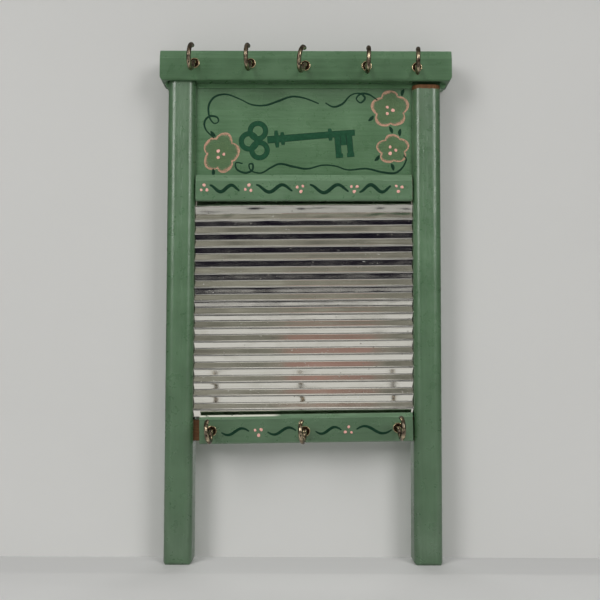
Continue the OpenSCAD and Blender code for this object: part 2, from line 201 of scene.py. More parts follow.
class Look:
    """A node material, with short calls for the nodes it uses. Textures run in millimetres."""

    def __init__(self, name, seed=0.0):
        self.material = bpy.data.materials.new(name)
        self.material.use_nodes = True
        self.tree = self.material.node_tree
        self.tree.nodes.clear()
        self.output = self.add("OutputMaterial")
        place = self.add("TexCoord").outputs["Object"]
        self.mm = self.vector("MULTIPLY", place, (1000, 1000, 1000))
        self.seed = (seed, seed * 1.7, -seed)

    def add(self, kind, inputs=None, **settings):
        node = self.tree.nodes.new("ShaderNode" + kind)
        for key, value in settings.items():
            setattr(node, key, value)
        for key, value in (inputs or {}).items():
            socket = node.inputs[key]
            if isinstance(value, bpy.types.NodeSocket):
                self.tree.links.new(value, socket)
            else:
                socket.default_value = value
        return node

    def vector(self, operation, a, b):
        return self.add("VectorMath", {0: a, 1: b}, operation=operation).outputs[0]

    def maths(self, operation, a, b=0.0):
        return self.add("Math", {0: a, 1: b}, operation=operation).outputs[0]

    def total(self, first, *weighted):
        """The first value plus each (value, weight)."""
        for value, weight in weighted:
            first = self.maths("ADD", first, self.maths("MULTIPLY", value, weight))
        return first

    def product(self, first, *others):
        """All the values multiplied together."""
        for value in others:
            first = self.maths("MULTIPLY", first, value)
        return first

    def noise(self, scale, detail=3.0, roughness=0.55, shift=0.0, distortion=0.0):
        """Noise with its own scale along each axis, in cycles per millimetre."""
        place = self.vector("MULTIPLY", self.mm, scale)
        place = self.vector("ADD", place, tuple(s + shift for s in self.seed))
        return self.add("TexNoise", {"Vector": place, "Scale": 1.0, "Detail": detail,
                                     "Roughness": roughness, "Distortion": distortion}).outputs[0]

    def spots(self, scale, shift=0.0):
        """Distance to the nearest of scattered points."""
        place = self.vector("MULTIPLY", self.mm, scale)
        place = self.vector("ADD", place, tuple(s + shift for s in self.seed))
        return self.add("TexVoronoi", {"Vector": place, "Scale": 1.0}).outputs["Distance"]

    def remap(self, value, low, high, to_low=0.0, to_high=1.0):
        return self.add("MapRange", {"Value": value, "From Min": low, "From Max": high,
                                     "To Min": to_low, "To Max": to_high}).outputs["Result"]

    def mix(self, share, a, b, blend="MIX"):
        return self.add("MixRGB", {"Fac": share, "Color1": a, "Color2": b}, blend_type=blend).outputs[0]

    def axis(self, index):
        return self.add("SeparateXYZ", {0: self.mm}).outputs[index]

    def bump(self, height, depth_mm, normal=None):
        inputs = {"Height": height, "Strength": 1.0, "Distance": depth_mm * MM}
        if normal is not None:
            inputs["Normal"] = normal
        return self.add("Bump", inputs).outputs["Normal"]

    def finish(self, colour, roughness, metallic=0.0, normal=None, alpha=None, **extra):
        inputs = {"Base Color": colour, "Roughness": roughness, "Metallic": metallic, **extra}
        if normal is not None:
            inputs["Normal"] = normal
        shader = self.add("BsdfPrincipled", inputs)
        if alpha is not None:
            self.tree.links.new(alpha, shader.inputs["Alpha"])
        self.tree.links.new(shader.outputs[0], self.output.inputs["Surface"])
        return self.material


def painted_wood(name, grain, seed, tone=1.0, bare=(), worn_end=None, painted_edge_highlight=None, shaded_top=None,
                 painted_light_below=None, shine=1.0):
    """Satin green paint brushed on along the grain axis, lighter or darker by its tone, and darker towards
    the bottom. Each bare zone is (axis, limit, side): the wood is unpainted past that limit on that side.
    worn_end is a zone where the edges are rubbed, and painted_edge_highlight is (lowest z, greatest x,
    greatest y) of a pale painted highlight along an edge. shaded_top is (top, depth): painted shade darkens
    the wood over that depth below that top. painted_light_below is the height under which painted light lifts
    the paint in the cap's shade."""
    look = Look(name, seed)

    def along(across, with_grain):
        scale = [across] * 3
        scale[grain] = with_grain
        return tuple(scale)

    streaks = look.noise(along(0.55, 0.022), 5, 0.62)
    hairs = look.noise(along(3.2, 0.07), 3, 0.6, shift=11)
    lumps = look.noise(along(0.42, 0.16), 4, 0.58, shift=23)
    mottle = look.noise((0.045, 0.045, 0.045), 3, 0.5, shift=31)
    grit = look.noise((1.9, 1.9, 1.9), 2, 0.5, shift=41)

    colour = look.mix(look.remap(streaks, 0.30, 0.72), GREEN_DARK, GREEN)
    colour = look.mix(look.remap(mottle, 0.42, 0.75, 0, 0.55), colour, GREEN_LIGHT)
    colour = look.mix(look.remap(hairs, 0.52, 0.78, 0, 0.28), colour, GREEN_LIGHT)
    colour = look.mix(look.remap(lumps, 0.56, 0.80, 0, 0.22), colour, GREEN_DARK)
    height = look.axis(2)
    # Darker towards the bottom, with the painted light and painted shade below multiplied in.
    tone_and_painted_shading = look.remap(height, 0, 300, 0.76 * tone, tone)
    # Painted light: below this height the head rail's tongue, in the cap's shade, is painted 1.5 times
    # lighter.
    if painted_light_below:
        tone_and_painted_shading = look.product(tone_and_painted_shading, look.remap(height, painted_light_below, painted_light_below - 0.1, 1.0, 1.5))
    # Painted shade: darker over the given depth below the top, where the head rail shades the wood.
    if shaded_top:
        top, depth = shaded_top
        tone_and_painted_shading = look.product(tone_and_painted_shading, look.remap(height, top - depth, top, 1.0, 0.78))
    colour = look.mix(1.0, colour, tone_and_painted_shading, "MULTIPLY")

    soft = look.add("Bevel", {"Radius": 0.55 * MM}, samples=6).outputs["Normal"]
    flat = look.add("NewGeometry").outputs["Normal"]
    match = look.add("VectorMath", {0: soft, 1: flat}, operation="DOT_PRODUCT").outputs["Value"]
    edge = look.remap(match, 0.985, 0.86)
    upward = look.add("SeparateXYZ", {0: flat}).outputs[2]
    rubbed = look.noise((0.32, 0.32, 0.32), 4, 0.65, shift=53)
    colour = look.mix(look.product(edge, 0.12), colour, GREEN_LIGHT)
    # Painted light: faces that look up are painted a lighter green, patchy along the grain, as lit from
    # above.
    top_light_patches = look.remap(look.noise(along(0.9, 0.05), 4, 0.6, shift=83), 0.54, 0.66, 0.30, 0.62)
    colour = look.mix(look.product(look.remap(upward, 0.20, 0.42), top_light_patches), colour, GREEN_PAINTED_TOP_LIGHT)

    def past(zone):
        """Distance beyond a zone's limit, towards its side."""
        axis, limit, side = zone
        return look.product(look.maths("SUBTRACT", look.axis(axis), limit), side)

    chips = look.product(edge, look.remap(rubbed, 0.66, 0.71))
    if worn_end:
        more = look.product(look.remap(past(worn_end), 0, 3), edge, look.remap(rubbed, 0.44, 0.50))
        chips = look.maths("MAXIMUM", chips, more)

    wood_grain = look.noise(along(1.6, 0.05), 5, 0.7, shift=61, distortion=0.4)
    wood = look.mix(look.remap(wood_grain, 0.35, 0.68), BARE_WOOD_DARK, BARE_WOOD)
    for zone in bare:
        ragged = look.maths("ADD", past(zone), look.remap(rubbed, 0.3, 0.7, -0.5, 0.5))
        chips = look.maths("MAXIMUM", chips, look.remap(ragged, 0.0, 0.25))
    colour = look.mix(chips, colour, wood)
    # Painted highlight: a pale line along the bottom rail's rounded top edge.
    if painted_edge_highlight:
        lowest, right, back = painted_edge_highlight
        level = look.total(height, (look.axis(0), -math.tan(LOW_TILT)))
        pale = look.product(look.remap(level, lowest, lowest + 0.15),
                            look.remap(look.axis(0), right, right - 5),
                            look.remap(look.axis(1), back, back + 0.2, 1, 0),
                            look.remap(upward, 0.25, 0.35),
                            look.remap(rubbed, 0.34, 0.40))
        colour = look.mix(pale, colour, EDGE_HIGHLIGHT_PALE)

    relief = look.total(lumps, (streaks, 0.5), (hairs, 0.10), (grit, 0.10), (chips, -0.35))
    gloss = look.remap(look.noise((0.2, 0.2, 0.2), 3, 0.6, shift=71), 0.3, 0.7, 0.25, 0.36)
    roughness = look.total(gloss, (chips, 0.35))
    specular = {"Specular IOR Level": look.product(look.remap(chips, 0, 1, 1.0, 0.2), shine)}
    return look.finish(colour, roughness, normal=look.bump(relief, 0.15, soft), **specular)


def tinplate():
    """Dulled bright tin: rolled streaks, smudges, white scuffs and a few dark pits."""
    look = Look("tinplate", 3.0)
    rolled = look.noise((0.012, 0.6, 2.6), 4, 0.6)
    smudge = look.noise((0.055, 0.2, 0.16), 4, 0.6, shift=9)
    scuffs = look.noise((0.42, 0.42, 0.85), 5, 0.72, shift=17)
    patches = look.noise((0.05, 0.05, 0.05), 2, 0.5, shift=29)
    pits = look.spots((0.17, 0.17, 0.26), shift=5)
    scratches = look.noise((0.06, 4.0, 5.5), 2, 0.6, shift=37, distortion=0.6)

    scuffed = look.product(look.remap(scuffs, 0.63, 0.71), look.remap(patches, 0.54, 0.66))
    pitted = look.remap(pits, 0.10, 0.05)
    colour = look.mix(look.remap(rolled, 0.3, 0.7), (0.60, 0.585, 0.53, 1), (0.74, 0.73, 0.68, 1))
    colour = look.mix(look.remap(smudge, 0.5, 0.8, 0, 0.5), colour, (0.50, 0.49, 0.43, 1))
    colour = look.mix(scuffed, colour, (0.80, 0.79, 0.76, 1))
    colour = look.mix(look.product(pitted, 0.7), colour, (0.16, 0.14, 0.11, 1))

    roughness = look.total(look.remap(smudge, 0.35, 0.75, 0.08, 0.22), (scuffed, 0.35), (pitted, 0.3))
    metallic = look.total(1.0, (scuffed, -0.55))
    relief = look.total(look.product(rolled, 0.35), (scratches, 0.2), (scuffed, 0.6), (pitted, -0.6))
    return look.finish(colour, roughness, metallic, look.bump(relief, 0.022))


def aged_brass(name, shine, painted_rim_highlight=False):
    """Brass plate gone brown, with rubbed spots; shine moves it towards the bright metal. A cup, hollow in
    front, is dark inside and has a painted highlight of pale gold on its rim."""
    look = Look(name, 7.0 + shine)
    patina = look.noise((0.30, 0.30, 0.30), 4, 0.55)
    fine = look.noise((3.0, 3.0, 3.0), 3, 0.6, shift=13)
    tarnish = look.noise((0.22, 0.22, 0.22), 2, 0.5, shift=19)
    colour = look.mix(look.remap(patina, 0.40 - shine, 0.70 - shine), (0.105, 0.076, 0.056, 1),
                      (0.68, 0.56, 0.38, 1))
    colour = look.mix(look.remap(fine, 0.55, 0.75, 0, 0.5), colour, (0.16, 0.095, 0.060, 1))
    colour = look.mix(look.remap(tarnish, 0.54, 0.70, 0, 0.7), colour, (0.085, 0.075, 0.062, 1))
    if painted_rim_highlight:
        # Dark inside the hollow, with a painted highlight of pale gold on the rim.
        out = brush_parts(look)[0]
        colour = look.mix(look.remap(out, 0.76, 0.83), (0.050, 0.030, 0.018, 1),
                          look.mix(0.6, colour, (0.86, 0.70, 0.42, 1)))
    roughness = look.remap(patina, 0.3, 0.7, 0.30, 0.16)
    relief = look.total(patina, (fine, 0.4))
    return look.finish(colour, roughness, 1.0, look.bump(relief, 0.008))


def plated_steel():
    """Dull zinc plate for the hidden nails and the hanger."""
    look = Look("plated_steel", 9.0)
    cloud = look.noise((0.5, 0.5, 0.5), 4, 0.6)
    brushed = look.noise((0.15, 3.0, 3.0), 3, 0.6, shift=7)
    rust = look.noise((0.35, 0.35, 0.35), 5, 0.7, shift=15)
    colour = look.mix(look.remap(cloud, 0.3, 0.7), (0.40, 0.41, 0.41, 1), (0.60, 0.60, 0.58, 1))
    colour = look.mix(look.remap(rust, 0.62, 0.70, 0, 0.8), colour, (0.22, 0.10, 0.05, 1))
    roughness = look.remap(brushed, 0.3, 0.7, 0.32, 0.5)
    return look.finish(colour, roughness, 0.9, look.bump(brushed, 0.02))


def brush_parts(look):
    """Along and across place in a brush mark: along 0 to 1, across -1 to 1."""
    marks = look.add("Attribute", attribute_name="brush").outputs["Vector"]
    split = look.add("SeparateXYZ", {0: marks})
    return split.outputs[0], split.outputs[1]


def stroke_paint(name, colour, edge_colour, edge_start, seed):
    """Opaque brush colour that is streaky along the stroke and darker or lighter at its edges."""
    look = Look(name, seed)
    across = brush_parts(look)[1]
    streak = look.noise((0.5, 0.5, 0.5), 4, 0.6)
    hairs = look.noise((2.6, 2.6, 2.6), 3, 0.6, shift=5)
    rim = look.remap(look.maths("ABSOLUTE", across), edge_start, min(1.0, edge_start + 0.12))
    light = tuple(min(1.0, c * 1.45 + 0.006) for c in colour[:3]) + (1,)
    shade = look.mix(look.remap(streak, 0.42, 0.72, 0, 0.7), colour, light)
    shade = look.mix(rim, shade, edge_colour)
    matt = {"Specular IOR Level": 0.12}
    return look.finish(shade, look.remap(hairs, 0.3, 0.7, 0.38, 0.55), normal=look.bump(hairs, 0.03), **matt)


def petal_paint():
    """Thin pink scumble, strongest at a petal's outer edge and fading to a wash of green inside."""
    look = Look("petal_paint", 15.0)
    out = brush_parts(look)[0]
    dabs = look.noise((0.34, 0.34, 0.34), 4, 0.65)
    hairs = look.noise((1.8, 1.8, 1.8), 3, 0.6, shift=9)
    reach = look.maths("ADD", out, look.remap(dabs, 0.3, 0.7, -0.06, 0.06))
    pink = look.product(look.remap(reach, 0.79, 0.92), look.remap(hairs, 0.25, 0.60, 0.45, 1))
    colour = look.mix(pink, (0.165, 0.250, 0.105, 1), PETAL_PINK)
    alpha = look.maths("MAXIMUM", look.product(pink, 0.82), look.remap(out, 0.98, 0.5, 0.12, 0.35))
    return look.finish(colour, 0.5, normal=look.bump(hairs, 0.04), alpha=alpha, **{"Specular IOR Level": 0.3})


def plain_surface(name, colour, painted_shade_top_share=1.0):
    """Matt studio surface with a barely visible mottle; 350 mm up, painted shade leaves it
    painted_shade_top_share of its lightness.
    """
    look = Look(name)
    cloud = look.noise((0.004, 0.004, 0.004), 2, 0.5)
    deep = tuple(c * 0.97 for c in colour[:3]) + (1,)
    shade = look.mix(look.remap(cloud, 0.35, 0.65), deep, colour)
    painted_height_shade = look.remap(look.axis(2), 0, 350, 1.0, painted_shade_top_share)
    look.finish(look.mix(1.0, shade, painted_height_shade, "MULTIPLY"), 0.9)
    return look


# ---- Wood and fixings ----

def assign(node, material):
    """Gives a CAD node one material."""
    slots = frame["nodes"][node].data.materials
    slots.clear()
    slots.append(material)


def dress_wood():
    x, z = 0, 2
    post_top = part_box("right_post")[1].z / MM
    board_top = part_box("headboard")[1].z / MM
    mid_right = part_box("mid_rail")[1].x / MM
    low_near, low_far = (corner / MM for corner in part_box("bottom_rail"))
    # The head rail's tongue under the cap gets painted light.
    assign("head_rail", painted_wood("paint_head_rail", x, 1.0, 0.79,
                                     painted_light_below=post_top + CAP_ABOVE_POST, shine=0.3))
    # The posts get painted shade below the head rail.
    assign("left_post", painted_wood("paint_left_post", z, 2.0, POST_TONE,
                                     shaded_top=(post_top, POST_PAINTED_SHADE)))
    assign("right_post", painted_wood("paint_right_post", z, 3.3, POST_TONE,
                                      shaded_top=(post_top, POST_PAINTED_SHADE),
                                      bare=[(z, post_top - BARE_POST_TOP, 1)]))
    # The headboard gets painted shade below the head rail.
    assign("headboard", painted_wood("paint_headboard", x, 4.1, 0.99,
                                     shaded_top=(board_top, BOARD_PAINTED_SHADE), shine=0.45))
    assign("mid_rail", painted_wood("paint_mid_rail", x, 5.7,
                                    worn_end=(x, mid_right - TENON_REACH - WORN_LENGTH, 1)))
    # The bottom rail's top edge gets a painted highlight.
    assign("bottom_rail", painted_wood("paint_bottom_rail", x, 6.2, 0.95,
                                       bare=[(x, low_near.x + TENON_REACH, -1),
                                             (x, low_far.x - TENON_REACH, 1)],
                                       painted_edge_highlight=(low_far.z - HIGHLIGHT_DROP, HIGHLIGHT_END,
                                                  low_near.y + HIGHLIGHT_BACK)))


def dress_steel():
    steel = plated_steel()
    for node in ("frame_nails", "hanger", "hanger_nails"):
        assign(node, steel)


# ---- Rub plate ----

def rib_offset(v):
    """Front-to-back place of the sheet's middle at a height above its lower edge."""
    wave = RIB_SHARPNESS * math.sin(2 * math.pi * v / RIB_PITCH + RIB_PHASE)
    return RIB_DEPTH / 2 * math.asin(wave) / math.asin(RIB_SHARPNESS)


def sheet_middle(u, v):
    """The rolled sheet is not quite true: slow waves, and ribs pressed flatter near its upper edge."""
    top_dent = math.exp(-((v - PLATE_HEIGHT + 6) / 6.5) ** 2)
    wave = 0.055 * noise.noise(Vector((u / 24, v / 11, 1.3)))
    ripple = 0.020 * noise.noise(Vector((u / 7, v / 5, 4.1)))
    crumple = top_dent * 0.32 * noise.noise(Vector((u / 13, v / 4, 8.7)))
    return rib_offset(v) * (1 - 0.25 * top_dent) + wave + ripple + crumple


def rub_plate(material):
    """Thin corrugated sheet between two faces that follow its middle, tilted a little in its grooves."""
    low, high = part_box("rub_plate")
    centre = (low + high) / 2
    columns, rows = PLATE_COLUMNS, int(PLATE_HEIGHT / RIB_PITCH * ROWS_PER_RIB)
    us = np.linspace(-PLATE_WIDTH / 2, PLATE_WIDTH / 2, columns)
    vs = np.linspace(0, PLATE_HEIGHT, rows)
    depth = np.array([[sheet_middle(u, v) for u in us] for v in vs])
    slope = np.gradient(depth, vs, axis=0)
    lean = np.sqrt(1 + slope ** 2)
    u_grid, v_grid = np.meshgrid(us, vs)
    points = []
    for side in (-1, 1):
        y = depth + side * SHEET_GAUGE / 2 / lean
        v = v_grid - side * SHEET_GAUGE / 2 * slope / lean
        for x, d, h in zip(u_grid.ravel(), y.ravel(), v.ravel()):
            h -= PLATE_HEIGHT / 2
            tilted_x = x * math.cos(PLATE_TILT) - h * math.sin(PLATE_TILT)
            tilted_z = x * math.sin(PLATE_TILT) + h * math.cos(PLATE_TILT)
            points.append((centre.x + tilted_x * MM, centre.y + d * MM, centre.z + tilted_z * MM))
    count = rows * columns
    front = grid_faces(rows, columns, closed=False)
    back = [tuple(count + i for i in face) for face in front]
    border = list(range(columns))
    border += [i * columns + columns - 1 for i in range(1, rows)]
    border += [count - 1 - j for j in range(1, columns)]
    border += [i * columns for i in range(rows - 2, 0, -1)]
    rim = [(a, b, count + b, count + a) for a, b in zip(border, border[1:] + border[:1])]
    piece = add_piece("corrugated_plate", points, front + back + rim, material)
    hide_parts("rub_plate")


# ---- Cup hooks ----

def hook_layout(name):
    """Screw axis at the wood, how far the hook is turned, its sideways bend, reach and loop radius."""
    low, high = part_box("collar_" + name)
    axis = Vector(((low.x + high.x) / 2, high.y, (low.z + high.z) / 2))
    record = frame["record"]
    ring = next(o["box_m"] for o in record["physics"]["openings"] if o["name"] == "key_ring_" + name)
    middle = (Vector(ring[0]) + Vector(ring[1])) / 2
    seat = Vector(next(m["pos_m"] for m in record["mounts"] if m["name"] == "hook_" + name))
    up = middle - seat
    turn = math.atan2(up.x, up.z)
    upright = Matrix.Rotation(-turn, 3, "Y") @ (middle - axis)
    sideways, forwards = upright.x / MM, -upright.y / MM - COLLAR_LEAD
    bend, ahead = math.atan2(sideways, forwards), math.hypot(sideways, forwards)
    return axis, turn, bend, ahead, up.length / MM + WIRE_RADIUS


def hook_path(turn, bend, ahead, radius):
    """Centre line of the wire about the screw axis, as pairs of distance from the wood and place."""
    first = math.acos((LOOP_RISE + BEND_RADIUS) / (radius + BEND_RADIUS))
    flat = [(-depth, 0.0) for depth in np.arange(SCREW_LENGTH, 0, -THREAD_STEP)]
    flat += [(s, 0.0) for s in np.linspace(0, COLLAR_LEAD, 8)]
    flat += [(COLLAR_LEAD + BEND_RADIUS * math.sin(a), BEND_RADIUS * (math.cos(a) - 1))
             for a in np.linspace(0, first, 12)[1:]]
    flat += [(COLLAR_LEAD + ahead + radius * math.cos(a), LOOP_RISE + radius * math.sin(a))
             for a in np.linspace(-math.pi / 2 - first, TIP_ANGLE, 72)[1:]]
    path = []
    for forward, up in flat:
        past = max(0.0, forward - COLLAR_LEAD)
        ease = min(1.0, past / LEAN_EASE)
        ease = ease * ease * (3 - 2 * ease)
        bent = Matrix.Rotation(bend * ease, 3, "Z") @ Vector((0, -past, up))
        place = Matrix.Rotation(turn * ease, 3, "Y") @ bent
        path.append((forward, place - Vector((0, min(forward, COLLAR_LEAD), 0))))
    return path


def wire_radius(forward, angle):
    """Radius of the wire: a cut right-hand thread on the screw, and smooth wire after it."""
    depth = -forward
    if depth < RUNOUT_START:
        return WIRE_RADIUS
    taper = min(1.0, (SCREW_LENGTH - depth) / POINT_LENGTH)
    phase = (depth / THREAD_PITCH + angle / (2 * math.pi)) % 1.0
    crest = max(0.0, 1.0 - abs(phase - 0.5) * 3.4)
    runout = min(1.0, (depth - RUNOUT_START) / RUNOUT_LENGTH)
    root = WIRE_RADIUS + (THREAD_ROOT - WIRE_RADIUS) * runout
    ridge = (WIRE_RADIUS - THREAD_ROOT) * runout
    return max(0.03, (root + ridge * crest * min(1.0, taper * 1.4)) * taper ** 0.7)


def hook_wire(name, material):
    """Wire swept along its centre line, from the screw's point to the rounded tip."""
    axis, turn, bend, ahead, radius = hook_layout(name)
    path = hook_path(turn, bend, ahead, radius)
    angles = 2 * math.pi * np.arange(WIRE_SIDES) / WIRE_SIDES
    rings = [(place, [wire_radius(forward, angle) for angle in angles]) for forward, place in path]
    tip = path[-1][1]
    tip_way = (tip - path[-2][1]).normalized()
    for round_off in np.radians([15, 32, 50, 68, 84]):
        rings.append((tip + tip_way * WIRE_RADIUS * 0.8 * math.sin(round_off),
                      [WIRE_RADIUS * math.cos(round_off)] * WIRE_SIDES))
    points = []
    normal = Vector((1, 0, 0))
    for i, (place, radii) in enumerate(rings):
        along = (rings[min(i + 1, len(rings) - 1)][0] - rings[max(i - 1, 0)][0]).normalized()
        normal = (normal - along * normal.dot(along)).normalized()
        other = along.cross(normal)
        for angle, r in zip(angles, radii):
            points.append(axis + (place + (normal * math.cos(angle) + other * math.sin(angle)) * r) * MM)
    faces = grid_faces(len(rings), WIRE_SIDES) + end_caps(len(rings), WIRE_SIDES)
    piece = add_piece("wire_" + name, points, faces, material, "hook_" + name)
    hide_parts("hook_" + name)


COLLAR_RIM = 3.1
# Half outline of the pressed collar: (radius, distance from the wood).
COLLAR_OUTLINE = [(1.38, 0.0), (2.96, 0.0), (3.07, 0.06), (3.10, 0.20), (3.10, 0.72), (3.05, 0.98),
                  (2.92, 1.10), (2.76, 1.11), (2.63, 1.02), (2.46, 0.80), (2.28, 0.67), (2.08, 0.62),
                  (1.90, 0.68), (1.78, 0.92), (1.70, 1.30), (1.62, 1.52), (1.50, 1.58), (1.38, 1.52)]


def collar(name, material):
    """Dished collar turned about the screw axis."""
    axis = hook_layout(name)[0]
    steps = 72
    points, marks = [], []
    for step in range(steps):
        angle = 2 * math.pi * step / steps
        wobble = 1 + 0.006 * math.sin(3 * angle + axis.x / MM)
        for radius, out in COLLAR_OUTLINE:
            marks.append((radius / COLLAR_RIM, 0, 0))
            spread = min(radius * wobble, COLLAR_RIM)
            points.append(axis + Vector((spread * math.cos(angle), -out, spread * math.sin(angle))) * MM)
    ring = len(COLLAR_OUTLINE)
    faces = []
    for step in range(steps):
        nxt = (step + 1) % steps
        for k in range(ring):
            after = (k + 1) % ring
            faces.append((step * ring + k, step * ring + after, nxt * ring + after, nxt * ring + k))
    piece = add_piece("cup_" + name, points, faces, material, "collar_" + name, marks)
    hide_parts("collar_" + name)


def hooks():
    """A wire and a collar for every hook in the frame."""
    wire = aged_brass("brass_wire", 0.0)
    cup = aged_brass("brass_cup", 0.10, painted_rim_highlight=True)
    names = [b[len("hook_"):] for b in frame["bodies"] if b.startswith("hook_")]
    for name in names:
        hook_wire(name, wire)
        collar(name, cup)


# ---- Painted ornament ----

# Cross-section of a brush mark: (across, height), as shares of half its width and of its thickness.
MARK_SECTION = [(-1.0, -0.5), (-0.97, 0.30), (-0.62, 0.82), (0.0, 1.0), (0.62, 0.82), (0.97, 0.30),
                (1.0, -0.5)]
MARK_LIFT = 0.11


def curve(points, per_span=14):
    """Smooth curve through the given points."""
    p = [np.array(q, float) for q in points]
    p = [2 * p[0] - p[1]] + p + [2 * p[-1] - p[-2]]
    out = []
    for a, b, c, d in zip(p, p[1:], p[2:], p[3:]):
        for t in np.linspace(0, 1, per_span, endpoint=False):
            out.append(0.5 * (2 * b + (c - a) * t + (2 * a - 5 * b + 4 * c - d) * t ** 2
                              + (3 * b - a - 3 * c + d) * t ** 3))
    out.append(p[-2])
    return np.array(out)


def ring_path(centre, radius, start=0.0, steps=64):
    """Points once round a circle."""
    angles = start + np.linspace(0, 2 * math.pi, steps)
    return np.array([(centre[0] + radius * math.cos(a), centre[1] + radius * math.sin(a)) for a in angles])


def stroke(path, width, lift=MARK_LIFT):
    """Domed strip of paint along a path in a face's plane; width is a function of the share along it."""
    path = np.array(path, float)
    along = np.gradient(path, axis=0)
    along /= np.linalg.norm(along, axis=1)[:, None]
    points, marks = [], []
    for i, (here, way) in enumerate(zip(path, along)):
        share = i / (len(path) - 1)
        half = max(0.04, width(share)) / 2
        thin = min(1.0, half / 0.35)
        for across, height in MARK_SECTION:
            spot = here + np.array((-way[1], way[0])) * across * half
            points.append((spot[0], spot[1], height * lift * (thin if height > 0 else 1)))
            marks.append((share, across, 0))
    ring = len(MARK_SECTION)
    return points, grid_faces(len(path), ring) + end_caps(len(path), ring), marks


def pressed(widest, ends=0.15):
    """Width of a stroke that starts and ends thin and is pressed down in the middle."""
    return lambda share: widest * (ends + (1 - ends) * math.sin(math.pi * share) ** 0.7)


def dot(centre, radius, seed):
    """Round dab of thick paint, a little uneven."""
    section = [(1.0, -0.25), (0.98, 0.25), (0.84, 0.75), (0.55, 1.0), (0.25, 0.92), (0.02, 0.88)]
    lift, steps = 0.24, 26
    points, marks = [], []
    for reach, height in section:
        for k in range(steps):
            angle = 2 * math.pi * k / steps
            uneven = 1 + 0.07 * math.sin(2 * angle + seed) + 0.05 * math.sin(3 * angle + 2 * seed)
            r = radius * reach * uneven
            points.append((centre[0] + r * math.cos(angle), centre[1] + r * math.sin(angle), height * lift))
            marks.append((0, reach, 0))
    return points, grid_faces(len(section), steps) + end_caps(len(section), steps), marks


def blossom(centre, radius, turn, stretch):
    """Five scalloped petals as one thin disc, whose marks run from 0 in the middle to 1 at the edge."""
    reaches = [0.03, 0.25, 0.45, 0.6, 0.7, 0.78, 0.86, 0.93, 1.0]
    steps = 150
    points, marks = [], []
    for level, reach in enumerate(reaches + [1.0]):
        for k in range(steps):
            angle = 2 * math.pi * k / steps
            scallop = abs(math.cos(2.5 * (angle - turn))) ** 0.75
            uneven = 1 + 0.035 * math.sin(2 * angle + turn * 3) + 0.02 * math.sin(7 * angle)
            r = radius * reach * (0.76 + 0.24 * scallop) * uneven
            height = -0.04 if level == len(reaches) else 0.05 * (1 - 0.4 * reach ** 4)
            x, z = r * math.cos(angle), r * math.sin(angle) * stretch
            points.append((centre[0] + x, centre[1] + z, height))
            marks.append((reach, k / steps, 0))
    rows = len(reaches) + 1
    return points, grid_faces(rows, steps) + end_caps(rows, steps), marks


def leaf(centre, direction, length=4.6, width=2.1):
    """Pointed leaf with a slight bend."""
    along = np.array((math.cos(direction), math.sin(direction)))
    side = np.array((-along[1], along[0]))
    path = [np.array(centre) + along * (t - 0.5) * length + side * 0.35 * math.sin(math.pi * t)
            for t in np.linspace(0, 1, 18)]
    return stroke(path, lambda t: width * math.sin(math.pi * min(t * 0.92 + 0.04, 1)) ** 0.8)


def triplet(centre, turn, radius=0.95, spread=2.3):
    """Three dots in a triangle."""
    parts = []
    for k in range(3):
        angle = turn + k * 2 * math.pi / 3
        place = (centre[0] + spread * math.cos(angle), centre[1] + spread * math.sin(angle))
        parts.append(dot(place, radius * (1 + 0.12 * math.sin(centre[0] + 2.1 * k)), centre[0] + k))
    return parts


def squiggle(left, right, level, height, flip=1, widest=1.75, turns=0.96, start=0.03):
    """S-shaped brush stroke from left to right."""
    path = []
    for t in np.linspace(0, 1, 44):
        wave = -math.sin(2 * math.pi * (t * turns + start)) * flip
        path.append((left + (right - left) * t, level + height * wave))
    return stroke(path, pressed(widest, 0.42))


def lay_on(part, centre_x, centre_z, face_y, tilt=0.0):
    """Moves marks drawn about (0, 0) onto a front face, in metres."""
    points, faces, marks = part
    placed = []
    for across, up, height in points:
        x = across * math.cos(tilt) - up * math.sin(tilt)
        z = across * math.sin(tilt) + up * math.cos(tilt)
        placed.append((centre_x + x * MM, face_y - height * MM, centre_z + z * MM))
    return placed, faces, marks


def paint_on(name, parts, material, node, tilt=0.0, rise=0.0):
    """Lays marks on a node's front face, about its middle and up by rise."""
    low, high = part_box(node)
    middle = (low + high) / 2
    points, faces, marks = lay_on(joined(parts), middle.x, middle.z + rise * MM, low.y, tilt)
    add_piece(name, points, faces, material, marks=marks)


# Flowers on the headboard: (right of its centre, above its centre, radius, height against width, turn
# of the petals in degrees, places of the leaves around it in degrees).
FLOWERS = [(-50.8, -11.2, 11.4, 1.13, 3, (112, 248)),
           (52.6, 16.3, 11.5, 1.06, 20, (52, 206, 272)),
           (54.3, -8.4, 9.9, 0.98, 22, (66, 210, 268))]

# Vines on the headboard, each through points right of and above its centre.
VINES = [
    [(-55, -2), (-60, 3), (-61, 8), (-58, 11.5), (-53.5, 11), (-52.5, 8.3), (-55.2, 7.2), (-58, 11),
     (-58.5, 18), (-55, 23.5), (-48, 25.2), (-40, 22.5), (-32, 18.8), (-24, 18.4), (-16, 21), (-8, 23.8),
     (0, 23), (9, 19.6)],
    [(13, 20), (18, 17.6), (23.5, 19.5), (28.5, 24.8), (34, 26), (37.3, 23.2), (34.6, 20.2),
     (32, 22.8), (35, 25.8), (40, 25.2), (45, 21.8)],
    [(-37.5, -17.6), (-41.6, -17.2), (-41, -21.2), (-36, -23.4), (-31.6, -21.6), (-31.4, -18), (-33.6, -18.4),
     (-32, -22.2), (-26, -23.4), (-20, -20), (-14.5, -17.8), (-6, -19.6), (2, -20.8), (11, -18.6), (19, -19),
     (27, -21.4), (38, -20.6), (48, -22.8), (55.5, -23.2), (60, -20), (62.4, -15), (61, -12.2)],
]


